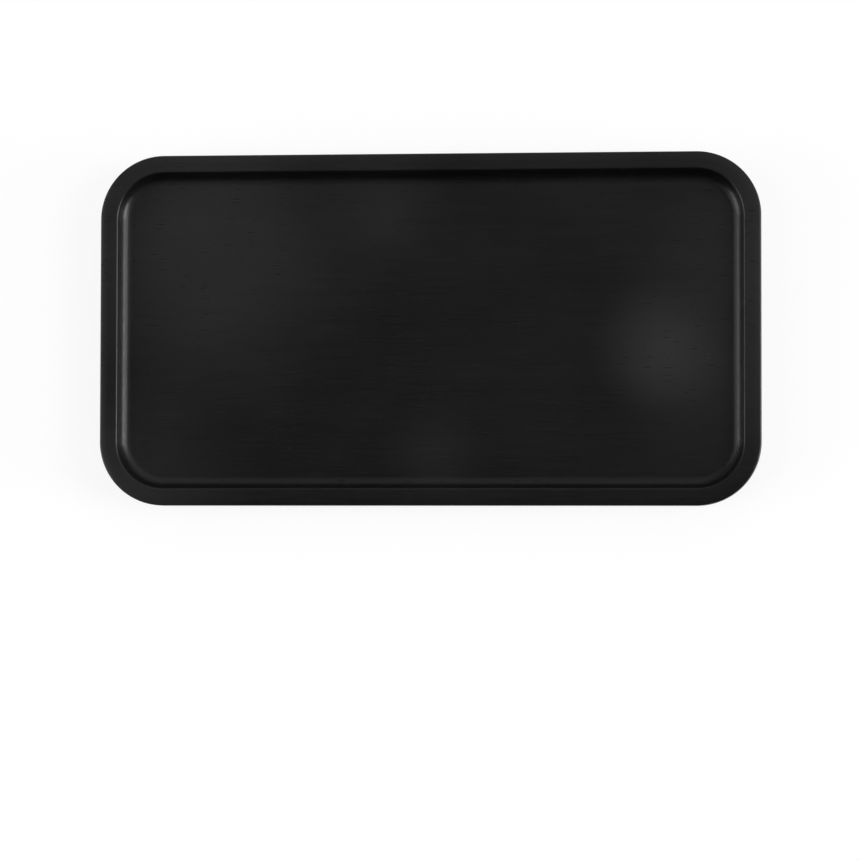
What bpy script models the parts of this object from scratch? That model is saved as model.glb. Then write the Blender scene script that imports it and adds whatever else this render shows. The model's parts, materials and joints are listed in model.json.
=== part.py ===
"""Black wooden tea tray: a board glued up from tongued and grooved staves, then milled.

Metres, +Z up. X runs along the grain, +Y points to the back. The origin is the middle of the
tray on the table top, under the foot pads.
"""
import math

import bmesh
import bpy
from mathutils import Vector

# The board as a whole.
TRAY_LENGTH = 0.320
TRAY_WIDTH = 0.170
BOARD_THICKNESS = 0.018
CORNER_RADIUS = 0.031

# The rim and the recess inside it, as one milled section.
RIM_WIDTH = 0.0076
RECESS_DEPTH = 0.008
RIM_INNER_RADIUS = 0.001
COVE_RADIUS = 0.005
WALL_DRAFT = math.radians(12)

# The two outside edges.
TOP_EDGE_RADIUS = 0.0008
BOTTOM_EDGE_RADIUS = 0.0085

# The staves, front to back, and the joint between two of them.
STAVE_NAMES = ("front_stave", "inner_front_stave", "middle_stave", "inner_back_stave", "back_stave")
TONGUE_THICKNESS = 0.003
TONGUE_LENGTH = 0.003
TONGUE_CHAMFER = 0.0005
GLUE_LINE = 0.0003

# The foot pads, their tape and the seats that they sit in.
PAD_NAMES = (("front_left", -1, -1), ("front_right", 1, -1), ("back_left", -1, 1), ("back_right", 1, 1))
PAD_DIAMETER = 0.012
PAD_THICKNESS = 0.002
PAD_PROUD = 0.001
PAD_EDGE_RADIUS = 0.0005
PAD_INSET_FROM_END = 0.025
PAD_INSET_FROM_SIDE = 0.022
TAPE_DIAMETER = 0.011
TAPE_THICKNESS = 0.0004
SEAT_CLEARANCE = 0.0003

# What a cut runs past the surface that it cuts.
CUT_OVERRUN = 0.002

# Colours as linear values, and how rough each surface is.
LACQUER_COLOUR = (0.012, 0.012, 0.012)
LACQUER_ROUGHNESS = 0.35
RUBBER_COLOUR = (0.015, 0.015, 0.015)
RUBBER_ROUGHNESS = 0.75
TAPE_COLOUR = (0.45, 0.43, 0.38)
TAPE_ROUGHNESS = 0.6

# Steps on a quarter turn of each curve.
CORNER_STEPS = 18
BOTTOM_EDGE_STEPS = 9
TOP_EDGE_STEPS = 3
RIM_INNER_STEPS = 4
COVE_STEPS = 8
PAD_STEPS = 36
PAD_EDGE_STEPS = 4
SMOOTH_ANGLE = math.radians(30)

# Heights over the table top that follow from the sizes.
BOARD_BOTTOM = PAD_PROUD
BOARD_TOP = BOARD_BOTTOM + BOARD_THICKNESS
RECESS_FLOOR = BOARD_TOP - RECESS_DEPTH
FLOOR_MIDDLE = (BOARD_BOTTOM + RECESS_FLOOR) / 2
SEAT_DEPTH = PAD_THICKNESS - PAD_PROUD + TAPE_THICKNESS + 2 * SEAT_CLEARANCE


def clear_scene():
    """Remove the objects that the file opened with."""
    for item in list(bpy.data.objects):
        bpy.data.objects.remove(item, do_unlink=True)


def finish(name, colour, roughness):
    """Make a plain material: colour in linear values, nothing metallic here."""
    material = bpy.data.materials.new(name)
    material.use_nodes = True
    shader = material.node_tree.nodes["Principled BSDF"]
    shader.inputs["Base Color"].default_value = (*colour, 1)
    shader.inputs["Roughness"].default_value = roughness
    shader.inputs["Metallic"].default_value = 0
    return material


def arc(centre, radius, start, end, steps):
    """Give the points of an arc in the section plane, as (inset, height)."""
    points = []
    for step in range(steps + 1):
        angle = start + (end - start) * step / steps
        points.append((centre[0] + radius * math.cos(angle), centre[1] + radius * math.sin(angle)))
    return points


def tray_section():
    """Give the milled section from the underside, round the rim, to the recess floor.

    Each point is (inset from the outer edge, height).
    """
    bottom_edge = arc(
        (BOTTOM_EDGE_RADIUS, BOARD_BOTTOM + BOTTOM_EDGE_RADIUS), BOTTOM_EDGE_RADIUS,
        math.radians(270), math.radians(180), BOTTOM_EDGE_STEPS)
    top_edge = arc(
        (TOP_EDGE_RADIUS, BOARD_TOP - TOP_EDGE_RADIUS), TOP_EDGE_RADIUS,
        math.radians(180), math.radians(90), TOP_EDGE_STEPS)
    rim_inner = arc(
        (RIM_WIDTH, BOARD_TOP - RIM_INNER_RADIUS), RIM_INNER_RADIUS,
        math.radians(90), WALL_DRAFT, RIM_INNER_STEPS)
    # The drafted wall runs down from the rim's round to where the cove takes over.
    round_drops = (RIM_INNER_RADIUS + COVE_RADIUS) * (1 - math.sin(WALL_DRAFT))
    wall_drop = RECESS_DEPTH - round_drops
    wall_start = rim_inner[-1][0]
    cove_start = wall_start + wall_drop * math.tan(WALL_DRAFT)
    cove_centre = (cove_start + COVE_RADIUS * math.cos(WALL_DRAFT), RECESS_FLOOR + COVE_RADIUS)
    cove = arc(
        cove_centre, COVE_RADIUS,
        math.radians(180) + WALL_DRAFT, math.radians(270), COVE_STEPS)
    return bottom_edge + top_edge + rim_inner + cove


def rounded_rectangle(inset, height):
    """Give the ring of points that lies at one inset inside the tray's outline."""
    half_length = TRAY_LENGTH / 2 - inset
    half_width = TRAY_WIDTH / 2 - inset
    radius = max(CORNER_RADIUS - inset, RIM_INNER_RADIUS)
    ring = []
    for quarter, (side_x, side_y) in enumerate(((1, 1), (-1, 1), (-1, -1), (1, -1))):
        for step in range(CORNER_STEPS + 1):
            angle = math.radians(90) * (quarter + step / CORNER_STEPS)
            x = side_x * (half_length - radius) + radius * math.cos(angle)
            y = side_y * (half_width - radius) + radius * math.sin(angle)
            ring.append(Vector((x, y, height)))
    return ring


def circle(radius, height):
    """Give a ring of points round the Z axis."""
    ring = []
    for step in range(PAD_STEPS):
        angle = math.radians(360) * step / PAD_STEPS
        ring.append(Vector((radius * math.cos(angle), radius * math.sin(angle), height)))
    return ring


def skin(name, rings):
    """Make a closed body from rings of points, with a flat cap on the first and the last."""
    shape = bmesh.new()
    loops = [[shape.verts.new(point) for point in ring] for ring in rings]
    shape.faces.new(reversed(loops[0]))
    shape.faces.new(loops[-1])
    for lower, upper in zip(loops, loops[1:]):
        for index in range(len(lower)):
            follow = (index + 1) % len(lower)
            shape.faces.new((lower[index], lower[follow], upper[follow], upper[index]))
    bmesh.ops.recalc_face_normals(shape, faces=shape.faces)
    return add_body(name, shape)


def extrude_outline(name, outline, start_x, end_x):
    """Make a closed body from an outline in the YZ plane, run along X."""
    shape = bmesh.new()
    face = shape.faces.new([shape.verts.new((start_x, y, z)) for y, z in outline])
    extruded = bmesh.ops.extrude_face_region(shape, geom=[face])
    moved = [item for item in extruded["geom"] if isinstance(item, bmesh.types.BMVert)]
    bmesh.ops.translate(shape, verts=moved, vec=(end_x - start_x, 0, 0))
    bmesh.ops.recalc_face_normals(shape, faces=shape.faces)
    return add_body(name, shape)


def add_body(name, shape):
    """Turn a bmesh into an object of that name, shaded smooth up to the smooth angle."""
    mesh = bpy.data.meshes.new(name)
    shape.to_mesh(mesh)
    shape.free()
    mesh.shade_smooth()
    mesh.set_sharp_from_angle(angle=SMOOTH_ANGLE)
    body = bpy.data.objects.new(name, mesh)
    bpy.context.scene.collection.objects.link(body)
    return body


def as_cutter(body):
    """Keep a body out of the model: it only shapes others."""
    body.hide_render = True
    body.display_type = "WIRE"
    return body


def cut_with(body, cutter, operation):
    """Shape a body with a cutter."""
    cut = body.modifiers.new(cutter.name, "BOOLEAN")
    cut.operation = operation
    cut.solver = "EXACT"
    cut.object = cutter


def pad_places():
    """Give each pad's name and its centre in plan."""
    reach_x = TRAY_LENGTH / 2 - PAD_INSET_FROM_END
    reach_y = TRAY_WIDTH / 2 - PAD_INSET_FROM_SIDE
    return [(name, side_x * reach_x, side_y * reach_y) for name, side_x, side_y in PAD_NAMES]


def make_milled_form():
    """Make the outer shape of the whole tray, with the pad seats sunk in its underside."""
    rings = [rounded_rectangle(inset, height) for inset, height in tray_section()]
    form = as_cutter(skin("milled_form", rings))
    seat_radius = PAD_DIAMETER / 2 + SEAT_CLEARANCE
    for name, x, y in pad_places():
        seat = as_cutter(skin("pad_seat_" + name, [
            circle(seat_radius, BOARD_BOTTOM - CUT_OVERRUN),
            circle(seat_radius, BOARD_BOTTOM + SEAT_DEPTH)]))
        seat.location = (x, y, 0)
        cut_with(form, seat, "DIFFERENCE")
    return form


def tongue_outline(joint_y):
    """Give the back edge of a stave, from bottom to top, with its tongue in the middle."""
    face_y = joint_y - GLUE_LINE / 2
    half = TONGUE_THICKNESS / 2
    tip_y = face_y + TONGUE_LENGTH
    return [
        (face_y, FLOOR_MIDDLE - half),
        (tip_y - TONGUE_CHAMFER, FLOOR_MIDDLE - half),
        (tip_y, FLOOR_MIDDLE - half + TONGUE_CHAMFER),
        (tip_y, FLOOR_MIDDLE + half - TONGUE_CHAMFER),
        (tip_y - TONGUE_CHAMFER, FLOOR_MIDDLE + half),
        (face_y, FLOOR_MIDDLE + half)]


def groove_outline(joint_y):
    """Give the front edge of a stave, from top to bottom, with the groove for that tongue."""
    face_y = joint_y + GLUE_LINE / 2
    half = TONGUE_THICKNESS / 2 + GLUE_LINE
    end_y = joint_y - GLUE_LINE / 2 + TONGUE_LENGTH + GLUE_LINE
    return [
        (face_y, FLOOR_MIDDLE + half),
        (end_y, FLOOR_MIDDLE + half),
        (end_y, FLOOR_MIDDLE - half),
        (face_y, FLOOR_MIDDLE - half)]


def stave_outline(index):
    """Give the section of one glued-up blank, before the tray is milled from it."""
    stave_width = TRAY_WIDTH / len(STAVE_NAMES)
    front_y = index * stave_width - TRAY_WIDTH / 2
    back_y = front_y + stave_width
    low = BOARD_BOTTOM - CUT_OVERRUN
    high = BOARD_TOP + CUT_OVERRUN
    if index == len(STAVE_NAMES) - 1:
        back_face = back_y + CUT_OVERRUN
        back = [(back_face, low), (back_face, high)]
    else:
        back_face = back_y - GLUE_LINE / 2
        back = [(back_face, low)] + tongue_outline(back_y) + [(back_face, high)]
    if index == 0:
        front_face = front_y - CUT_OVERRUN
        front = [(front_face, high), (front_face, low)]
    else:
        front_face = front_y + GLUE_LINE / 2
        front = [(front_face, high)] + groove_outline(front_y) + [(front_face, low)]
    return back + front


def make_staves(form):
    """Make the staves: each is its blank, milled to the tray's form."""
    reach_x = TRAY_LENGTH / 2 + CUT_OVERRUN
    for index, name in enumerate(STAVE_NAMES):
        stave = extrude_outline(name, stave_outline(index), -reach_x, reach_x)
        stave.data.materials.append(finish(name + "_lacquer", LACQUER_COLOUR, LACQUER_ROUGHNESS))
        cut_with(stave, form, "INTERSECT")


def make_pads():
    """Make the foot pads and the tape discs over them, each in its seat."""
    pad_radius = PAD_DIAMETER / 2
    edge = arc(
        (pad_radius - PAD_EDGE_RADIUS, PAD_EDGE_RADIUS), PAD_EDGE_RADIUS,
        math.radians(270), math.radians(360), PAD_EDGE_STEPS)
    pad_section = edge + [(pad_radius, PAD_THICKNESS)]
    tape_bottom = PAD_THICKNESS + SEAT_CLEARANCE
    tape_section = [(TAPE_DIAMETER / 2, tape_bottom), (TAPE_DIAMETER / 2, tape_bottom + TAPE_THICKNESS)]
    for name, x, y in pad_places():
        pad = skin("foot_pad_" + name, [circle(radius, height) for radius, height in pad_section])
        pad.data.materials.append(finish(pad.name + "_rubber", RUBBER_COLOUR, RUBBER_ROUGHNESS))
        pad.location = (x, y, 0)
        tape = skin("pad_tape_" + name, [circle(radius, height) for radius, height in tape_section])
        tape.data.materials.append(finish(tape.name + "_adhesive", TAPE_COLOUR, TAPE_ROUGHNESS))
        tape.location = (x, y, 0)


def main():
    """Build the tray."""
    clear_scene()
    form = make_milled_form()
    make_staves(form)
    make_pads()


main()
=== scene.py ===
import json
import math

import bpy
from bpy.props import (
    FloatProperty, FloatVectorProperty, IntProperty, PointerProperty)
from mathutils import Euler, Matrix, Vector


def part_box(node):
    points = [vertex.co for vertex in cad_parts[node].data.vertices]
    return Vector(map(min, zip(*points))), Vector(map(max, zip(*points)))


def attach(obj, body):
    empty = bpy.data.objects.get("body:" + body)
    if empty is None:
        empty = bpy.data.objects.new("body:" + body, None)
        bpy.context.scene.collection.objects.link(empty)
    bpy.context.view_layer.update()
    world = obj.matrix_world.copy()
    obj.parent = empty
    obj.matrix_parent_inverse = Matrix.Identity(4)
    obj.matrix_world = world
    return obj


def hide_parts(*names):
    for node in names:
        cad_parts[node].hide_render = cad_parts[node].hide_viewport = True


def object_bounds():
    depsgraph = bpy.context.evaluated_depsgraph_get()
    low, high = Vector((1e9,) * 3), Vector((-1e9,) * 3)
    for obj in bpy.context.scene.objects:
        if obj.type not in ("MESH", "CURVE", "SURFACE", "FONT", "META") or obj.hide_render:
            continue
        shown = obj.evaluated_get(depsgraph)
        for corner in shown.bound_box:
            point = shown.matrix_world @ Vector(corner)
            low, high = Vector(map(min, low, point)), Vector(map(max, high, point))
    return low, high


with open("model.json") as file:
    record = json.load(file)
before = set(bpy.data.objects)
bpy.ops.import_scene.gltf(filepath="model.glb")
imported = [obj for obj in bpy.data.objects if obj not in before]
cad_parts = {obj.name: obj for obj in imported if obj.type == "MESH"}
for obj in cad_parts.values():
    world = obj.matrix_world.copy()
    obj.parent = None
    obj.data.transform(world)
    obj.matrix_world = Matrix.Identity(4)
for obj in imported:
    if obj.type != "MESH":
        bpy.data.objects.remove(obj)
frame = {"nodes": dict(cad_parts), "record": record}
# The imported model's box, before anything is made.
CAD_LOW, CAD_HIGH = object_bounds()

# Metres, +Z up. X runs along the grain and +Y points to the back of the tray.

bl_info = {
    "name": "Tea tray",
    "version": (1, 0, 0),
    "blender": (4, 5, 0),
    "location": "3D View > Sidebar > Tea tray",
    "description": "Makes a black milled tea tray with its staves, feet and a plain studio",
    "category": "Object",
}

STAVES = (
    "front_stave", "inner_front_stave", "middle_stave", "inner_back_stave", "back_stave")
PADS = (
    "foot_pad_front_left", "foot_pad_front_right", "foot_pad_back_left", "foot_pad_back_right")
TAPES = (
    "pad_tape_front_left", "pad_tape_front_right", "pad_tape_back_left", "pad_tape_back_right")
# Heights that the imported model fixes.
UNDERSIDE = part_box("middle_stave")[0].z
RECESS_FLOOR = next(
    mount["pos_m"][2] for mount in frame["record"]["mounts"] if mount["name"] == "recess_floor")

# How far a cutter runs past what it cuts, and how far a support point stands from a round.
OVERRUN = 0.002
SUPPORT = 0.0003
# Points closer than this are one point, and edges sharper than this stay sharp.
MERGE_DISTANCE = 0.000001
SMOOTH_ANGLE = math.radians(30)
QUARTER = math.radians(90)
# Flat steps in the small rounds, in the lower round and the cove, and round a pad and its seat.
SMALL_ROUND_STEPS = 8
WIDE_ROUND_STEPS = 20
DISC_STEPS = 72

# Grain patterns: length along the grain and width across it in millimetres, and roughness.
GROWTH_BANDS = (160, 11, 0.55)
FIBRES = (30, 0.5, 0.6)
# Two sizes of pore: a cell's length and width in millimetres, how far the pore reaches in it, and
# the share of cells that have one. Real pores are about 0.2 mm wide. The longer ones here are
# drawn up to twice as wide, so that they show.
PORE_CELLS = ((12, 0.9, 0.23, 0.45), (6, 0.6, 0.2, 0.35))
# How wide a pore's bottom is, as a part of its reach.
PORE_BOTTOM = 0.45
# How far the hard bands and the raised fibres stand proud, and how deep the pores are.
BAND_HEIGHT = 0.00012
FIBRE_HEIGHT = 0.000012
PORE_DEPTH = 0.00006
# From one stave's place in the timber to the next one's.
TIMBER_STEP = Vector((0.37, 0.053, 0.031))
# Size of the soft clouds in the stain.
CLOUD_SIZE = 0.04
# Where each pattern starts to thin the stain, where it is full, and how much it then thins it.
BAND_TONE = (0.3, 0.7, 0.04)
FIBRE_TONE = (0.3, 0.7, 0.04)
CLOUD_TONE = (0.35, 0.7, 0.05)
# From which low to which high fibres the lacquer grows duller, and by how much at either end.
FIBRE_RANGE = (0.25, 0.75)
FIBRE_DULLNESS = (-0.04, 0.05)
# How much duller it is in the pores.
PORE_DULLNESS = 0.35
# Painted sheen: soft paler patches in the colour that stand in for soft reflections on the
# flats: middle x and y, reach and strength.
PAINTED_SHEEN_PATCHES = (
    (-0.113, 0.042, 0.102, 0.48), (-0.022, 0.061, 0.039, 0.26), (0.170, 0.028, 0.098, 0.42),
    (0.112, -0.009, 0.039, 0.58), (0.001, -0.060, 0.030, 0.18), (-0.156, -0.090, 0.085, 0.47),
    (0.072, 0.090, 0.057, 0.11), (0.137, -0.037, 0.051, 0.22))
# The painted sheen fades out where the surface leans: its normal's part upwards, at none and
# in full.
SHEEN_FACING_UP = (0.7, 1)

# The mould's fine tooth on the rubber and the spots of bloom, and how rough they leave it.
TOOTH_SIZE = 0.00012
TOOTH_HEIGHT = 0.00002
BLOOM_SIZE = 0.004
RUBBER_ROUGHNESS = (0.66, 0.8)
# Cells of the foam tape.
CELL_SIZE = 0.00025
CELL_DEPTH = 0.00003

# Softboxes: name, its brightness among the studio's values, and azimuth, elevation and spread in
# degrees. Azimuth 0 is at the right end and 90 at the back.
SOFTBOXES = (
    ("right_softbox", "right_light", 4, 37, 26),
    ("right_low_softbox", "right_low_light", -8, 9, 28),
    ("left_softbox", "left_light", 181, 42, 47),
    ("left_low_softbox", "left_low_light", 192, 13, 36),
    ("rear_softbox", "rear_light", 68, 43.5, 79),
    ("top_softbox", "top_light", 332, 72, 62),
    ("back_left_fill", "fill_light", 123, 18, 79),
    ("front_right_fill", "fill_light", 318, 18, 60))
# Where the pale foot of the walls ends, as a direction's part upwards, and where it fades out
# towards the front, as its part backwards.
WALL_TOP = (0.08, 0.12)
WALL_FRONT = (-0.55, -0.1)
# The floor's half width, and what is seen of it: a shade that takes the shadow, and a glow.
FLOOR_REACH = 6
FLOOR_SHADE = "#787878"
FLOOR_GLOW = 0.862
# The camera's sensor, in millimetres.
SENSOR_WIDTH = 36


def linear(code):
    """Turn an sRGB hex colour into linear red, green, blue and alpha."""
    channels = []
    for place in (1, 3, 5):
        value = int(code[place:place + 2], 16) / 255
        channels.append(value / 12.92 if value <= 0.04045 else ((value + 0.055) / 1.055) ** 2.4)
    return (*channels, 1)


class TraySizes(bpy.types.PropertyGroup):
    """The milled section and the parts of the tray."""

    corner_radius: FloatProperty(
        name="Corner radius", description="Radius of the tray's corners in plan",
        default=0.031, min=0.02, max=0.05, unit="LENGTH")
    rim_width: FloatProperty(
        name="Rim width", description="Width of the rim's flat top, with its outer round",
        default=0.0076, min=0.004, max=0.015, unit="LENGTH")
    recess_depth: FloatProperty(
        name="Recess depth", description="How far the floor lies below the rim",
        default=CAD_HIGH.z - RECESS_FLOOR, min=0.005, max=0.012, unit="LENGTH")
    rim_inner_radius: FloatProperty(
        name="Rim inner radius", description="Round between the rim and the recess wall",
        default=0.001, min=0.0005, max=0.002, unit="LENGTH")
    cove_radius: FloatProperty(
        name="Cove radius", description="Cove between the recess wall and the floor",
        default=0.005, min=0.003, max=0.006, unit="LENGTH")
    wall_draft: FloatProperty(
        name="Wall draft", description="How far the recess wall leans from upright",
        default=math.radians(12), min=0, max=math.radians(30), unit="ROTATION", subtype="ANGLE")
    crown_width: FloatProperty(
        name="Crown width", description="How far in from the edge the sanding rounds the rim over",
        default=0.0045, min=0.003, max=0.006, unit="LENGTH")
    crown_fall: FloatProperty(
        name="Crown fall", description="Slope of the sanded rim where it meets the top edge",
        default=math.radians(9), min=math.radians(1), max=math.radians(20), unit="ROTATION",
        subtype="ANGLE")
    top_edge_radius: FloatProperty(
        name="Top edge radius", description="Round on the outer top edge",
        default=0.001, min=0.0003, max=0.002, unit="LENGTH")
    bottom_edge_radius: FloatProperty(
        name="Bottom edge radius", description="Round on the outer bottom edge",
        default=0.0085, min=0.004, max=0.009, unit="LENGTH")
    tongue_thickness: FloatProperty(
        name="Tongue thickness", description="Thickness of the tongue between two staves",
        default=0.003, min=0.002, max=0.004, unit="LENGTH")
    tongue_length: FloatProperty(
        name="Tongue length", description="How far a tongue reaches into the next stave",
        default=0.003, min=0.002, max=0.006, unit="LENGTH")
    seat_radius: FloatProperty(
        name="Seat radius", description="Radius of the seats that the foot pads sit in",
        default=0.0063, min=0.005, max=0.01, unit="LENGTH")
    seat_depth: FloatProperty(
        name="Seat depth", description="Depth of the seats in the underside",
        default=0.002, min=0.001, max=0.003, unit="LENGTH")
    pad_edge_radius: FloatProperty(
        name="Pad edge radius", description="Round on the foot pads' lower edge",
        default=0.0005, min=0.0002, max=0.001, unit="LENGTH")
    corner_steps: IntProperty(
        name="Corner steps", description="Flat steps round one corner of the tray",
        default=48, min=12, max=96)


class TrayFinishes(bpy.types.PropertyGroup):
    """The colours and the gloss."""

    stain: FloatVectorProperty(
        name="Stain", description="Colour of the black stain where it is deepest",
        default=linear("#080808"), size=4, min=0, max=1, subtype="COLOR")
    # Colour of thinner stain, and also of the painted sheen patches that stand in for soft
    # reflections on the flats.
    pale_stain_and_painted_sheen: FloatVectorProperty(
        name="Thin stain", description="Colour where the stain lies thinner or was wiped away",
        default=linear("#363636"), size=4, min=0, max=1, subtype="COLOR")
    pore: FloatVectorProperty(
        name="Pore", description="Colour inside the open pores",
        default=linear("#060606"), size=4, min=0, max=1, subtype="COLOR")
    gloss: FloatProperty(
        name="Lacquer roughness", description="Roughness of the satin lacquer",
        default=0.33, min=0, max=1, subtype="FACTOR")
    rubber: FloatVectorProperty(
        name="Rubber", description="Colour of the foot pads",
        default=linear("#202020"), size=4, min=0, max=1, subtype="COLOR")
    bloom: FloatVectorProperty(
        name="Rubber bloom", description="Colour where a faint bloom lies on the rubber",
        default=linear("#2a2a2a"), size=4, min=0, max=1, subtype="COLOR")
    tape: FloatVectorProperty(
        name="Tape", description="Colour of the foam tape over the pads",
        default=linear("#b4b0a5"), size=4, min=0, max=1, subtype="COLOR")
    tape_cells: FloatVectorProperty(
        name="Tape cells", description="Colour in the foam's cells",
        default=linear("#9c988c"), size=4, min=0, max=1, subtype="COLOR")


class TrayStudio(bpy.types.PropertyGroup):
    """The floor, the light and the camera."""

    floor: FloatVectorProperty(
        name="Floor", description="Colour of the studio floor",
        default=linear("#e8e8e6"), size=4, min=0, max=1, subtype="COLOR")
    right_light: FloatProperty(
        name="Right softbox", description="Brightness of the softbox at the right end",
        default=5.69, min=0, max=20)
    right_low_light: FloatProperty(
        name="Low right softbox", description="Brightness of the small softbox below it",
        default=12.2, min=0, max=20)
    left_light: FloatProperty(
        name="Left softbox", description="Brightness of the softbox at the left end",
        default=1.37, min=0, max=20)
    left_low_light: FloatProperty(
        name="Low left softbox", description="Brightness of the smaller softbox below it",
        default=4.35, min=0, max=20)
    rear_light: FloatProperty(
        name="Rear softbox", description="Brightness of the wide softbox behind the tray",
        default=0.495, min=0, max=20)
    top_light: FloatProperty(
        name="Top softbox", description="Brightness of the softbox nearly overhead",
        default=0.12, min=0, max=20)
    fill_light: FloatProperty(
        name="Fill softboxes", description="Brightness of the two dim softboxes between the others",
        default=0.15, min=0, max=20)
    room: FloatProperty(
        name="Room", description="Brightness of the rest of the studio",
        default=0.011, min=0, max=2)
    walls: FloatProperty(
        name="Walls", description="Brightness of the pale foot of the walls",
        default=1.0, min=0, max=2)
    camera_place: FloatVectorProperty(
        name="Camera place", description="Where the camera stands, nearly overhead",
        default=(0.1600, -0.1121, 1.7089), size=3, unit="LENGTH", subtype="TRANSLATION")
    camera_turn: FloatVectorProperty(
        name="Camera turn", description="How the camera is turned",
        default=[math.radians(angle) for angle in (2.151, 5.367, 0.108)],
        size=3, unit="ROTATION", subtype="EULER")
    focal_length: FloatProperty(
        name="Focal length", description="Focal length on a 36 mm sensor, in millimetres",
        default=147.8, min=10, max=400)


def put(tree, kind, inputs=None, **settings):
    """Add a node with its settings, its input values and the links to it."""
    node = tree.nodes.new(kind)
    for name, value in settings.items():
        setattr(node, name, value)
    for key, given in (inputs or {}).items():
        for value in given if isinstance(given, list) else [given]:
            if isinstance(value, bpy.types.NodeSocket):
                tree.links.new(value, node.inputs[key])
            else:
                node.inputs[key].default_value = value
    return node


def arc(centre, radius, start, end, steps):
    """Give the points of an arc in the section plane, as (inset, height)."""
    points = []
    for step in range(steps + 1):
        angle = start + (end - start) * step / steps
        points.append((centre[0] + radius * math.cos(angle), centre[1] + radius * math.sin(angle)))
    return points


def milled_section(sizes):
    """Give the tray's section from the underside, round the rim, to the recess floor.

    Each point is (inset from the outer edge, height). A support point beyond each round keeps
    the flats flat under smooth shading.
    """
    top = CAD_HIGH.z
    bottom_radius = sizes.bottom_edge_radius
    top_radius = sizes.top_edge_radius
    inner_radius = sizes.rim_inner_radius
    cove_radius = sizes.cove_radius
    draft = sizes.wall_draft
    fall = sizes.crown_fall
    # The crown is part of a wide circle that runs smoothly into the top edge's round.
    crown_radius = (sizes.crown_width - top_radius * (1 - math.sin(fall))) / math.sin(fall)
    edge_height = top - crown_radius * (1 - math.cos(fall)) - top_radius * math.cos(fall)
    points = [(bottom_radius + SUPPORT, UNDERSIDE)]
    points += arc(
        (bottom_radius, UNDERSIDE + bottom_radius), bottom_radius,
        3 * QUARTER, 2 * QUARTER, WIDE_ROUND_STEPS)
    points += [(0, UNDERSIDE + bottom_radius + SUPPORT), (0, edge_height - SUPPORT)]
    points += arc(
        (top_radius, edge_height), top_radius, 2 * QUARTER, QUARTER + fall, SMALL_ROUND_STEPS)
    points += arc(
        (sizes.crown_width, top - crown_radius), crown_radius,
        QUARTER + fall, QUARTER, SMALL_ROUND_STEPS)[1:]
    points.append((sizes.rim_width - SUPPORT, top))
    points += arc(
        (sizes.rim_width, top - inner_radius), inner_radius, QUARTER, draft, SMALL_ROUND_STEPS)
    drop = sizes.recess_depth - (inner_radius + cove_radius) * (1 - math.sin(draft))
    cove_x = points[-1][0] + drop * math.tan(draft) + cove_radius * math.cos(draft)
    points += arc(
        (cove_x, top - sizes.recess_depth + cove_radius), cove_radius,
        2 * QUARTER + draft, 3 * QUARTER, WIDE_ROUND_STEPS)
    points.append((cove_x + SUPPORT, top - sizes.recess_depth))
    return points


def pad_section(sizes):
    """Give a foot pad's section from the tread, round the edge, to the taped face."""
    radius = sizes.pad_edge_radius
    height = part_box(PADS[0])[1].z
    points = [(radius + SUPPORT, 0)]
    points += arc((radius, radius), radius, 3 * QUARTER, 2 * QUARTER, SMALL_ROUND_STEPS)
    points += [(0, radius + SUPPORT), (0, height - SUPPORT), (0, height), (SUPPORT, height)]
    return points


def section_curve(name, points):
    """Make the curve that a tree sweeps along an outline: inset to the left, height down."""
    curve = bpy.data.curves.new(name, "CURVE")
    curve.dimensions = "3D"
    line = curve.splines.new("POLY")
    line.points.add(len(points) - 1)
    for point, (inset, height) in zip(line.points, points):
        point.co = (-inset, -height, 0, 1)
    helper = bpy.data.objects.new(name, curve)
    bpy.context.scene.collection.objects.link(helper)
    return helper


def new_tree(name, inputs):
    """Start a node tree with named inputs. Gives the tree, its input sockets and its end."""
    tree = bpy.data.node_groups.new(name, "GeometryNodeTree")
    for label, kind in inputs:
        tree.interface.new_socket(label, in_out="INPUT", socket_type="NodeSocket" + kind)
    tree.interface.new_socket("Geometry", in_out="OUTPUT", socket_type="NodeSocketGeometry")
    return tree, put(tree, "NodeGroupInput").outputs, put(tree, "NodeGroupOutput")


def end_tree(tree, geometry, material, end):
    """Make the result real, give it its material and send it out."""
    real = put(tree, "GeometryNodeRealizeInstances", {0: geometry})
    finished = put(tree, "GeometryNodeSetMaterial", {
        "Geometry": real.outputs[0], "Material": material})
    tree.links.new(finished.outputs[0], end.inputs[0])


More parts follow.
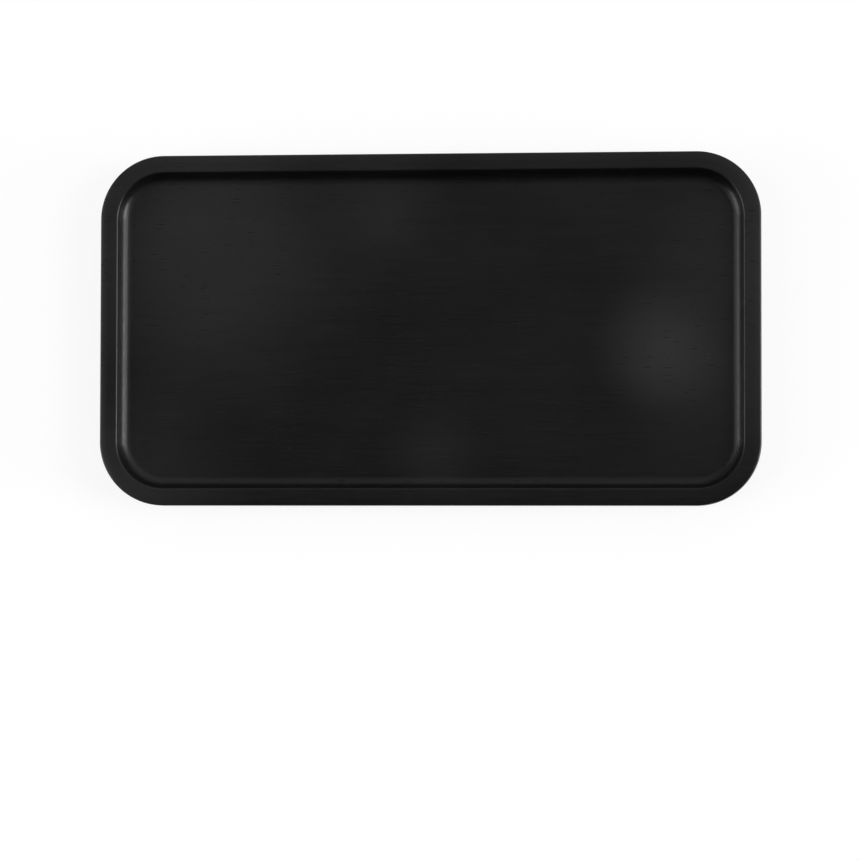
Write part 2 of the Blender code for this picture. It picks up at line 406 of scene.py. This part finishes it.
def swept_solid(tree, path, section, low, high):
    """Sweep a section round a closed path and cap it at the low and the high height."""
    profile = put(tree, "GeometryNodeObjectInfo", {"Object": section})
    sweep = put(tree, "GeometryNodeCurveToMesh", {
        "Curve": path, "Profile Curve": profile.outputs["Geometry"]})
    sweep = put(tree, "GeometryNodeFlipFaces", {"Mesh": sweep.outputs[0]}).outputs[0]
    # The sweep is open at both ends of its section, so those edges have one face.
    faces = put(tree, "GeometryNodeInputMeshEdgeNeighbors")
    open_edge = put(tree, "FunctionNodeCompare", {
        2: faces.outputs["Face Count"], 3: 1}, data_type="INT", operation="EQUAL")
    place = put(tree, "ShaderNodeSeparateXYZ", {
        0: put(tree, "GeometryNodeInputPosition").outputs[0]})
    total = put(tree, "ShaderNodeMath", {0: low, 1: high}, operation="ADD")
    middle = put(tree, "ShaderNodeMath", {0: total.outputs[0], 1: 0.5}, operation="MULTIPLY")
    parts = [sweep]
    for operation, height in (("LESS_THAN", low), ("GREATER_THAN", high)):
        on_side = put(tree, "FunctionNodeCompare", {
            0: place.outputs["Z"], 1: middle.outputs[0]}, data_type="FLOAT", operation=operation)
        chosen = put(tree, "FunctionNodeBooleanMath", {
            0: open_edge.outputs[0], 1: on_side.outputs[0]}, operation="AND")
        loop = put(tree, "GeometryNodeMeshToCurve", {"Mesh": sweep, "Selection": chosen.outputs[0]})
        cap = put(tree, "GeometryNodeFillCurve", {"Curve": loop.outputs[0]}, mode="NGONS")
        lift = put(tree, "ShaderNodeCombineXYZ", {"Z": height})
        moved = put(tree, "GeometryNodeTransform", {
            "Geometry": cap.outputs[0], "Translation": lift.outputs[0]}).outputs[0]
        if operation == "LESS_THAN":
            moved = put(tree, "GeometryNodeFlipFaces", {"Mesh": moved}).outputs[0]
        parts.append(moved)
    joined = put(tree, "GeometryNodeJoinGeometry", {0: parts})
    return put(tree, "GeometryNodeMergeByDistance", {
        "Geometry": joined.outputs[0], "Distance": MERGE_DISTANCE}).outputs[0]


def block(tree, low, high):
    """Make a block between two opposite corners."""
    size = put(tree, "ShaderNodeVectorMath", {0: high, 1: low}, operation="SUBTRACT")
    total = put(tree, "ShaderNodeVectorMath", {0: high, 1: low}, operation="ADD")
    middle = put(tree, "ShaderNodeVectorMath", {
        0: total.outputs[0], "Scale": 0.5}, operation="SCALE")
    cube = put(tree, "GeometryNodeMeshCube", {"Size": size.outputs[0]})
    return put(tree, "GeometryNodeTransform", {
        "Geometry": cube.outputs[0], "Translation": middle.outputs[0]}).outputs[0]


def stave_tree():
    """Build the tree that mills one stave: sweep the section, sink the seats, keep the blank."""
    tree, given, end = new_tree("milled_stave", (
        ("Section", "Object"), ("Tray Length", "Float"), ("Tray Width", "Float"),
        ("Corner Radius", "Float"), ("Corner Steps", "Int"), ("Underside", "Float"),
        ("Recess Floor", "Float"), ("Seat Spacing X", "Float"), ("Seat Spacing Y", "Float"),
        ("Seat Radius", "Float"), ("Seat Depth", "Float"), ("Seat Steps", "Int"),
        ("Blank Low", "Vector"), ("Blank High", "Vector"), ("Tongue Low", "Vector"),
        ("Tongue High", "Vector"), ("Groove Low", "Vector"), ("Groove High", "Vector"),
        ("Material", "Material")))
    oblong = put(tree, "GeometryNodeCurvePrimitiveQuadrilateral", {
        "Width": given["Tray Length"], "Height": given["Tray Width"]})
    outline = put(tree, "GeometryNodeFilletCurve", {
        "Curve": oblong.outputs[0], "Count": given["Corner Steps"],
        "Radius": given["Corner Radius"]}, mode="POLY")
    form = swept_solid(
        tree, outline.outputs[0], given["Section"], given["Underside"], given["Recess Floor"])
    # A seat's cutter reaches as far below the underside as into it.
    grid = put(tree, "GeometryNodeMeshGrid", {
        "Size X": given["Seat Spacing X"], "Size Y": given["Seat Spacing Y"],
        "Vertices X": 2, "Vertices Y": 2})
    reach = put(tree, "ShaderNodeMath", {0: given["Seat Depth"], 1: 2.0}, operation="MULTIPLY")
    cutter = put(tree, "GeometryNodeMeshCylinder", {
        "Vertices": given["Seat Steps"], "Radius": given["Seat Radius"],
        "Depth": reach.outputs[0]})
    cutters = put(tree, "GeometryNodeInstanceOnPoints", {
        "Points": grid.outputs[0], "Instance": cutter.outputs[0]})
    cutters = put(tree, "GeometryNodeRealizeInstances", {0: cutters.outputs[0]})
    lift = put(tree, "ShaderNodeCombineXYZ", {"Z": given["Underside"]})
    seats = put(tree, "GeometryNodeTransform", {
        "Geometry": cutters.outputs[0], "Translation": lift.outputs[0]})
    seated = put(tree, "GeometryNodeMeshBoolean", {
        0: form, 1: seats.outputs[0]}, operation="DIFFERENCE", solver="EXACT")
    blank = block(tree, given["Blank Low"], given["Blank High"])
    tongue = block(tree, given["Tongue Low"], given["Tongue High"])
    groove = block(tree, given["Groove Low"], given["Groove High"])
    tongued = put(tree, "GeometryNodeMeshBoolean", {
        1: [blank, tongue]}, operation="UNION", solver="EXACT")
    grooved = put(tree, "GeometryNodeMeshBoolean", {
        0: tongued.outputs[0], 1: groove}, operation="DIFFERENCE", solver="EXACT")
    milled = put(tree, "GeometryNodeMeshBoolean", {
        1: [seated.outputs[0], grooved.outputs[0]]}, operation="INTERSECT", solver="EXACT")
    end_tree(tree, milled.outputs[0], given["Material"], end)
    return tree


def pad_tree():
    """Build the tree that moulds the foot pads and sets one at each corner."""
    tree, given, end = new_tree("moulded_pads", (
        ("Section", "Object"), ("Pad Radius", "Float"), ("Pad Steps", "Int"),
        ("Tread", "Float"), ("Taped Face", "Float"), ("Spacing X", "Float"),
        ("Spacing Y", "Float"), ("Material", "Material")))
    outline = put(tree, "GeometryNodeCurvePrimitiveCircle", {
        "Resolution": given["Pad Steps"], "Radius": given["Pad Radius"]}, mode="RADIUS")
    pad = swept_solid(
        tree, outline.outputs[0], given["Section"], given["Tread"], given["Taped Face"])
    grid = put(tree, "GeometryNodeMeshGrid", {
        "Size X": given["Spacing X"], "Size Y": given["Spacing Y"],
        "Vertices X": 2, "Vertices Y": 2})
    pads = put(tree, "GeometryNodeInstanceOnPoints", {"Points": grid.outputs[0], "Instance": pad})
    end_tree(tree, pads.outputs[0], given["Material"], end)
    return tree


def grow(name, tree, values):
    """Run a tree on an empty piece and keep what it makes as a plain mesh."""
    piece = bpy.data.objects.new(name, bpy.data.meshes.new(name + "_start"))
    bpy.context.scene.collection.objects.link(piece)
    run = piece.modifiers.new(tree.name, "NODES")
    run.node_group = tree
    for item in tree.interface.items_tree:
        if item.in_out == "INPUT":
            run[item.identifier] = values[item.name]
    graph = bpy.context.evaluated_depsgraph_get()
    mesh = bpy.data.meshes.new_from_object(piece.evaluated_get(graph), depsgraph=graph)
    if not mesh.polygons:
        raise RuntimeError(f"the tree {tree.name} made no faces for {name}")
    piece.modifiers.remove(run)
    start = piece.data
    piece.data = mesh
    bpy.data.meshes.remove(start)
    mesh.name = name
    mesh.materials.clear()
    mesh.materials.append(values["Material"])
    for face in mesh.polygons:
        face.material_index = 0
    mesh.shade_smooth()
    mesh.set_sharp_from_angle(angle=SMOOTH_ANGLE)
    return piece


def centre_of(node):
    """Give the middle of a CAD node's box."""
    low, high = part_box(node)
    return (low + high) / 2


def new_material(name):
    """Start a material with an empty tree. Gives the material and the tree."""
    material = bpy.data.materials.new(name)
    material.use_nodes = True
    material.node_tree.nodes.clear()
    return material, material.node_tree


def open_pores(tree, timber):
    """Draw the pores, short dashes along the grain: 1 in a pore and 0 between them."""
    pores = 0.0
    for length, width, reach, share in PORE_CELLS:
        drawn = put(tree, "ShaderNodeMapping", {
            "Vector": timber, "Scale": (1000 / length, 1000 / width, 1000 / width)})
        cells = put(tree, "ShaderNodeTexVoronoi", {"Vector": drawn.outputs[0], "Scale": 1.0})
        inside = put(tree, "ShaderNodeMapRange", {
            "Value": cells.outputs["Distance"], "From Min": reach, "From Max": reach * PORE_BOTTOM},
            interpolation_type="SMOOTHSTEP").outputs[0]
        # A cell holds one pore, or none.
        chance = put(tree, "ShaderNodeSeparateColor", {0: cells.outputs["Color"]}).outputs[0]
        kept = put(tree, "ShaderNodeMath", {0: chance, 1: share}, operation="LESS_THAN")
        layer = put(tree, "ShaderNodeMath", {0: inside, 1: kept.outputs[0]}, operation="MULTIPLY")
        pores = put(tree, "ShaderNodeMath", {
            0: pores, 1: layer.outputs[0]}, operation="MAXIMUM").outputs[0]
    return pores


def draw_painted_sheen(tree, here):
    """Draw the painted sheen: paler patches for soft reflections, only on flats that face up."""
    patches = 0.0
    for middle_x, middle_y, reach, strength in PAINTED_SHEEN_PATCHES:
        away = put(tree, "ShaderNodeVectorMath", {
            0: here, 1: (middle_x, middle_y, RECESS_FLOOR)}, operation="DISTANCE")
        patch = put(tree, "ShaderNodeMapRange", {
            "Value": away.outputs["Value"], "From Max": reach, "To Min": strength, "To Max": 0.0},
            interpolation_type="SMOOTHSTEP")
        patches = put(tree, "ShaderNodeMath", {
            0: patch.outputs[0], 1: patches}, operation="ADD").outputs[0]
    # The painted sheen shows only where the surface faces up, as a reflection of the light above
    # would, so the coves keep the deep stain.
    facing = put(tree, "ShaderNodeTexCoord").outputs["Normal"]
    upward = put(tree, "ShaderNodeSeparateXYZ", {0: facing}).outputs["Z"]
    wiped = put(tree, "ShaderNodeMapRange", {
        "Value": upward, "From Min": SHEEN_FACING_UP[0], "From Max": SHEEN_FACING_UP[1]},
        interpolation_type="SMOOTHSTEP")
    return put(tree, "ShaderNodeMath", {
        0: patches, 1: wiped.outputs[0]}, operation="MULTIPLY").outputs[0]


def lacquered_wood(name, finishes, place):
    """Black-stained rubberwood under satin lacquer, sanded along the grain.

    The lacquer is thin, so short open pores still show as dark dashes along the grain. The
    stain takes unevenly, in faint streaks and soft clouds. Broad soft patches of painted sheen on
    the flats stand in for soft reflections.
    """
    material, tree = new_material(name)
    here = put(tree, "ShaderNodeTexCoord").outputs["Object"]
    # Each stave is another piece of timber, so its grain is shifted.
    timber = put(tree, "ShaderNodeMapping", {
        "Vector": here, "Location": TIMBER_STEP * place}).outputs[0]
    grain = []
    for length, width, roughness in (GROWTH_BANDS, FIBRES):
        drawn = put(tree, "ShaderNodeMapping", {
            "Vector": timber, "Scale": (1000 / length, 1000 / width, 1000 / width)})
        grain.append(put(tree, "ShaderNodeTexNoise", {
            "Vector": drawn.outputs[0], "Scale": 1.0, "Detail": 3.0,
            "Roughness": roughness}).outputs[0])
    bands, fibres = grain
    pores = open_pores(tree, timber)
    # Clouds of stain cross from stave to stave, because the whole board was stained at once. The
    # painted sheen crosses them too.
    clouds = put(tree, "ShaderNodeTexNoise", {
        "Vector": here, "Scale": 1 / CLOUD_SIZE, "Detail": 2.0, "Roughness": 0.5}).outputs[0]
    # Painted sheen first: paler patches for soft reflections, then the real thinning of the stain
    # on top.
    thin = draw_painted_sheen(tree, here)
    for pattern, (low, high, share) in (
            (bands, BAND_TONE), (fibres, FIBRE_TONE), (clouds, CLOUD_TONE)):
        part = put(tree, "ShaderNodeMapRange", {
            "Value": pattern, "From Min": low, "From Max": high, "To Max": share},
            interpolation_type="SMOOTHSTEP").outputs[0]
        thin = put(tree, "ShaderNodeMath", {0: part, 1: thin}, operation="ADD").outputs[0]
    stained = put(tree, "ShaderNodeMix", {
        "Factor": thin, 6: finishes.stain[:], 7: finishes.pale_stain_and_painted_sheen[:]}, data_type="RGBA")
    colour = put(tree, "ShaderNodeMix", {
        "Factor": pores, 6: stained.outputs[2], 7: finishes.pore[:]}, data_type="RGBA")
    # The lacquer is duller on fibres that stand proud, and in the pores, which it hardly fills.
    lacquer = put(tree, "ShaderNodeMapRange", {
        "Value": fibres, "From Min": FIBRE_RANGE[0], "From Max": FIBRE_RANGE[1],
        "To Min": finishes.gloss + FIBRE_DULLNESS[0],
        "To Max": finishes.gloss + FIBRE_DULLNESS[1]},
        interpolation_type="SMOOTHSTEP")
    lacquer = put(tree, "ShaderNodeMath", {
        0: pores, 1: PORE_DULLNESS, 2: lacquer.outputs[0]}, operation="MULTIPLY_ADD")
    waves = put(tree, "ShaderNodeBump", {
        "Height": bands, "Distance": BAND_HEIGHT, "Strength": 1.0})
    raised = put(tree, "ShaderNodeBump", {
        "Height": fibres, "Distance": FIBRE_HEIGHT, "Strength": 1.0,
        "Normal": waves.outputs[0]})
    sunk = put(tree, "ShaderNodeBump", {
        "Height": pores, "Distance": PORE_DEPTH, "Strength": 1.0,
        "Normal": raised.outputs[0]}, invert=True)
    # Satin lacquer scatters part of its shine, so it mirrors less than a clear film does.
    shader = put(tree, "ShaderNodeBsdfPrincipled", {
        "Base Color": colour.outputs[2], "Roughness": lacquer.outputs[0],
        "Normal": sunk.outputs[0], "IOR": 1.5, "Specular IOR Level": 0.32})
    put(tree, "ShaderNodeOutputMaterial", {"Surface": shader.outputs[0]})
    return material


def moulded_rubber(name, finishes):
    """Black rubber from a spark-eroded mould: dull, with a fine even tooth and a faint bloom."""
    material, tree = new_material(name)
    here = put(tree, "ShaderNodeTexCoord").outputs["Object"]
    tooth = put(tree, "ShaderNodeTexNoise", {
        "Vector": here, "Scale": 1 / TOOTH_SIZE, "Detail": 2.0}).outputs[0]
    bloom = put(tree, "ShaderNodeTexNoise", {
        "Vector": here, "Scale": 1 / BLOOM_SIZE, "Detail": 2.0}).outputs[0]
    dull = put(tree, "ShaderNodeMapRange", {
        "Value": bloom, "From Min": 0.3, "From Max": 0.7,
        "To Min": RUBBER_ROUGHNESS[0], "To Max": RUBBER_ROUGHNESS[1]})
    colour = put(tree, "ShaderNodeMix", {
        "Factor": bloom, 6: finishes.rubber[:], 7: finishes.bloom[:]}, data_type="RGBA")
    bump = put(tree, "ShaderNodeBump", {
        "Height": tooth, "Distance": TOOTH_HEIGHT, "Strength": 1.0})
    shader = put(tree, "ShaderNodeBsdfPrincipled", {
        "Base Color": colour.outputs[2], "Roughness": dull.outputs[0],
        "Normal": bump.outputs[0], "IOR": 1.52})
    put(tree, "ShaderNodeOutputMaterial", {"Surface": shader.outputs[0]})
    return material


def foam_tape(name, finishes):
    """Polyethylene foam tape with its adhesive: pale, matt, with tiny closed cells."""
    material, tree = new_material(name)
    here = put(tree, "ShaderNodeTexCoord").outputs["Object"]
    cells = put(tree, "ShaderNodeTexVoronoi", {
        "Vector": here, "Scale": 1 / CELL_SIZE}).outputs["Distance"]
    colour = put(tree, "ShaderNodeMix", {
        "Factor": cells, 6: finishes.tape[:], 7: finishes.tape_cells[:]}, data_type="RGBA")
    bump = put(tree, "ShaderNodeBump", {
        "Height": cells, "Distance": CELL_DEPTH, "Strength": 0.8})
    shader = put(tree, "ShaderNodeBsdfPrincipled", {
        "Base Color": colour.outputs[2], "Roughness": 0.6, "Normal": bump.outputs[0],
        "IOR": 1.5})
    put(tree, "ShaderNodeOutputMaterial", {"Surface": shader.outputs[0]})
    return material


class TEATRAY_OT_mill_staves(bpy.types.Operator):
    """Mill the five staves of the tray and finish them"""

    bl_idname = "teatray.mill_staves"
    bl_label = "Mill the staves"

    def execute(self, context):
        sizes = context.scene.tray_sizes
        finishes = context.scene.tray_finishes
        section = section_curve("milled_section", milled_section(sizes))
        tree = stave_tree()
        seats = centre_of(PADS[3]) - centre_of(PADS[0])
        floor = CAD_HIGH.z - sizes.recess_depth
        # The tongues run halfway between the recess floor and the underside.
        joint = (UNDERSIDE + floor) / 2
        reach = CAD_HIGH.x + OVERRUN
        width = (CAD_HIGH.y - CAD_LOW.y) / len(STAVES)
        joints = [CAD_LOW.y + width * index for index in range(len(STAVES) + 1)]
        half = sizes.tongue_thickness / 2
        for index, name in enumerate(STAVES):
            front = joints[index]
            back = joints[index + 1]
            first = index == 0
            last = index == len(STAVES) - 1
            blank_front = front - OVERRUN if first else front
            blank_back = back + OVERRUN if last else back
            # The front stave has no groove and the back stave no tongue.
            tongue_tip = blank_back - OVERRUN if last else back + sizes.tongue_length
            groove_start = blank_front - 2 * OVERRUN
            groove_end = blank_front - OVERRUN if first else front + sizes.tongue_length
            stave = grow(name + "_milled", tree, {
                "Section": section,
                "Tray Length": CAD_HIGH.x - CAD_LOW.x,
                "Tray Width": CAD_HIGH.y - CAD_LOW.y,
                "Corner Radius": sizes.corner_radius,
                "Corner Steps": sizes.corner_steps,
                "Underside": UNDERSIDE,
                "Recess Floor": floor,
                "Seat Spacing X": seats.x,
                "Seat Spacing Y": seats.y,
                "Seat Radius": sizes.seat_radius,
                "Seat Depth": sizes.seat_depth,
                "Seat Steps": DISC_STEPS,
                "Blank Low": (-reach, blank_front, UNDERSIDE - OVERRUN),
                "Blank High": (reach, blank_back, CAD_HIGH.z + OVERRUN),
                "Tongue Low": (-reach, blank_back - 2 * OVERRUN, joint - half),
                "Tongue High": (reach, tongue_tip, joint + half),
                "Groove Low": (-reach - OVERRUN, groove_start, joint - half),
                "Groove High": (reach + OVERRUN, groove_end, joint + half),
                "Material": lacquered_wood(name + "_black_rubberwood", finishes, index + 1),
            })
            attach(stave, "root")
            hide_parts(name)
        bpy.data.objects.remove(section)
        return {"FINISHED"}


class TEATRAY_OT_mould_pads(bpy.types.Operator):
    """Mould the four foot pads"""

    bl_idname = "teatray.mould_pads"
    bl_label = "Mould the foot pads"

    def execute(self, context):
        sizes = context.scene.tray_sizes
        section = section_curve("pad_section", pad_section(sizes))
        spread = centre_of(PADS[3]) - centre_of(PADS[0])
        low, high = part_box(PADS[0])
        pads = grow("foot_pads", pad_tree(), {
            "Section": section,
            "Pad Radius": (high.x - low.x) / 2,
            "Pad Steps": DISC_STEPS,
            "Tread": low.z,
            "Taped Face": high.z,
            "Spacing X": spread.x,
            "Spacing Y": spread.y,
            "Material": moulded_rubber("moulded_black_rubber", context.scene.tray_finishes),
        })
        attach(pads, "root")
        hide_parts(*PADS)
        bpy.data.objects.remove(section)
        return {"FINISHED"}


class TEATRAY_OT_finish_tape(bpy.types.Operator):
    """Give the tape discs over the pads their finish"""

    bl_idname = "teatray.finish_tape"
    bl_label = "Finish the pad tape"

    def execute(self, context):
        foam = foam_tape("polyethylene_foam_tape", context.scene.tray_finishes)
        for name in TAPES:
            frame["nodes"][name].material_slots[0].material = foam
        return {"FINISHED"}


class TEATRAY_OT_set_stage(bpy.types.Operator):
    """Set the pale floor, the soft light and the camera"""

    bl_idname = "teatray.set_stage"
    bl_label = "Set the stage"

    def execute(self, context):
        scene = context.scene
        studio = scene.tray_studio
        self.lay_floor(scene, studio)
        self.paint_studio(scene, studio)
        self.hang_softboxes(scene, studio)
        self.place_camera(scene, studio)
        scene.view_settings.view_transform = "Standard"
        return {"FINISHED"}

    def hang_softboxes(self, scene, studio):
        """Hang the round softboxes, far away, each as bright as its studio value says."""
        for name, brightness, azimuth, elevation, spread in SOFTBOXES:
            lamp = bpy.data.lights.new(name, "SUN")
            lamp.angle = math.radians(spread)
            # A sun's strength is the light that falls square on a surface.
            lamp.energy = (
                getattr(studio, brightness) * math.pi * math.sin(lamp.angle / 2) ** 2)
            box = bpy.data.objects.new(name, lamp)
            # A sun shines down its own Z axis, so that axis is tipped away from upright.
            box.rotation_euler = Euler((
                0, math.radians(90 - elevation), math.radians(azimuth)))
            scene.collection.objects.link(box)

    def place_camera(self, scene, studio):
        """Stand the camera where the upper picture was taken."""
        camera = bpy.data.cameras.new("camera")
        camera.sensor_width = SENSOR_WIDTH
        camera.lens = studio.focal_length
        stand = bpy.data.objects.new("camera", camera)
        stand.location = studio.camera_place
        stand.rotation_euler = Euler(studio.camera_turn)
        scene.collection.objects.link(stand)
        scene.camera = stand

    def lay_floor(self, scene, studio):
        """Lay the floor: matt pale board, seen as white with a soft shadow."""
        mesh = bpy.data.meshes.new("studio_floor")
        corners = [
            (x * FLOOR_REACH, y * FLOOR_REACH, 0)
            for x, y in ((-1, -1), (1, -1), (1, 1), (-1, 1))]
        mesh.from_pydata(corners, [], [(0, 1, 2, 3)])
        floor = bpy.data.objects.new("studio_floor", mesh)
        scene.collection.objects.link(floor)
        material, tree = new_material("matt_pale_board")
        shader = put(tree, "ShaderNodeBsdfPrincipled", {
            "Base Color": studio.floor[:], "Roughness": 0.9})
        # What the camera, gloss and glass see of the floor is white, less the shadow.
        path = put(tree, "ShaderNodeLightPath").outputs
        seen = put(tree, "ShaderNodeMath", {
            0: path["Is Camera Ray"], 1: path["Is Glossy Ray"]}, operation="MAXIMUM")
        seen = put(tree, "ShaderNodeMath", {
            0: seen.outputs[0], 1: path["Is Transmission Ray"]}, operation="MAXIMUM")
        shade = put(tree, "ShaderNodeBsdfDiffuse", {"Color": linear(FLOOR_SHADE)})
        glow = put(tree, "ShaderNodeEmission", {
            "Color": linear("#ffffff"), "Strength": FLOOR_GLOW})
        both = put(tree, "ShaderNodeAddShader", {0: shade.outputs[0], 1: glow.outputs[0]})
        mixed = put(tree, "ShaderNodeMixShader", {
            0: seen.outputs[0], 1: shader.outputs[0], 2: both.outputs[0]})
        put(tree, "ShaderNodeOutputMaterial", {"Surface": mixed.outputs[0]})
        mesh.materials.append(material)

    def paint_studio(self, scene, studio):
        """Paint the studio round the tray: dim, with a pale foot to its walls at the back."""
        world = bpy.data.worlds.new("studio")
        scene.world = world
        world.use_nodes = True
        tree = world.node_tree
        ray = put(tree, "ShaderNodeSeparateXYZ", {
            0: put(tree, "ShaderNodeTexCoord").outputs["Generated"]}).outputs
        foot = put(tree, "ShaderNodeMapRange", {
            "Value": ray["Z"], "From Min": WALL_TOP[0], "From Max": WALL_TOP[1],
            "To Min": studio.walls, "To Max": 0.0}, interpolation_type="SMOOTHSTEP")
        behind = put(tree, "ShaderNodeMapRange", {
            "Value": ray["Y"], "From Min": WALL_FRONT[0], "From Max": WALL_FRONT[1]},
            interpolation_type="SMOOTHSTEP")
        lit = put(tree, "ShaderNodeMath", {
            0: foot.outputs[0], 1: behind.outputs[0], 2: studio.room},
            operation="MULTIPLY_ADD")
        # The camera sees white beyond the floor.
        camera = put(tree, "ShaderNodeLightPath").outputs["Is Camera Ray"]
        strength = put(tree, "ShaderNodeMath", {
            0: lit.outputs[0], 1: camera}, operation="MAXIMUM")
        back = tree.nodes["Background"]
        back.inputs["Color"].default_value = linear("#ffffff")
        tree.links.new(strength.outputs[0], back.inputs["Strength"])


class TEATRAY_PT_panel(bpy.types.Panel):
    """The tray's sizes, finishes and steps"""

    bl_idname = "TEATRAY_PT_panel"
    bl_label = "Tea tray"
    bl_space_type = "VIEW_3D"
    bl_region_type = "UI"
    bl_category = "Tea tray"

    def draw(self, context):
        for step in STEPS:
            self.layout.operator(step.bl_idname)
        for group_name in GROUPS:
            group = getattr(context.scene, group_name)
            column = self.layout.column()
            for name in group.__annotations__:
                column.prop(group, name)


STEPS = (
    TEATRAY_OT_set_stage, TEATRAY_OT_mill_staves, TEATRAY_OT_mould_pads,
    TEATRAY_OT_finish_tape)
GROUPS = {"tray_sizes": TraySizes, "tray_finishes": TrayFinishes, "tray_studio": TrayStudio}


def register():
    """Register the groups, the operators and the panel."""
    for name, group in GROUPS.items():
        bpy.utils.register_class(group)
        setattr(bpy.types.Scene, name, PointerProperty(type=group))
    for step in STEPS:
        bpy.utils.register_class(step)
    bpy.utils.register_class(TEATRAY_PT_panel)


def unregister():
    """Remove what register added."""
    bpy.utils.unregister_class(TEATRAY_PT_panel)
    for step in STEPS:
        bpy.utils.unregister_class(step)
    for name, group in GROUPS.items():
        delattr(bpy.types.Scene, name)
        bpy.utils.unregister_class(group)


def main():
    """Make the stage and the tray."""
    register()
    bpy.ops.teatray.set_stage()
    bpy.ops.teatray.mill_staves()
    bpy.ops.teatray.mould_pads()
    bpy.ops.teatray.finish_tape()


if __name__ == "__main__":
    main()
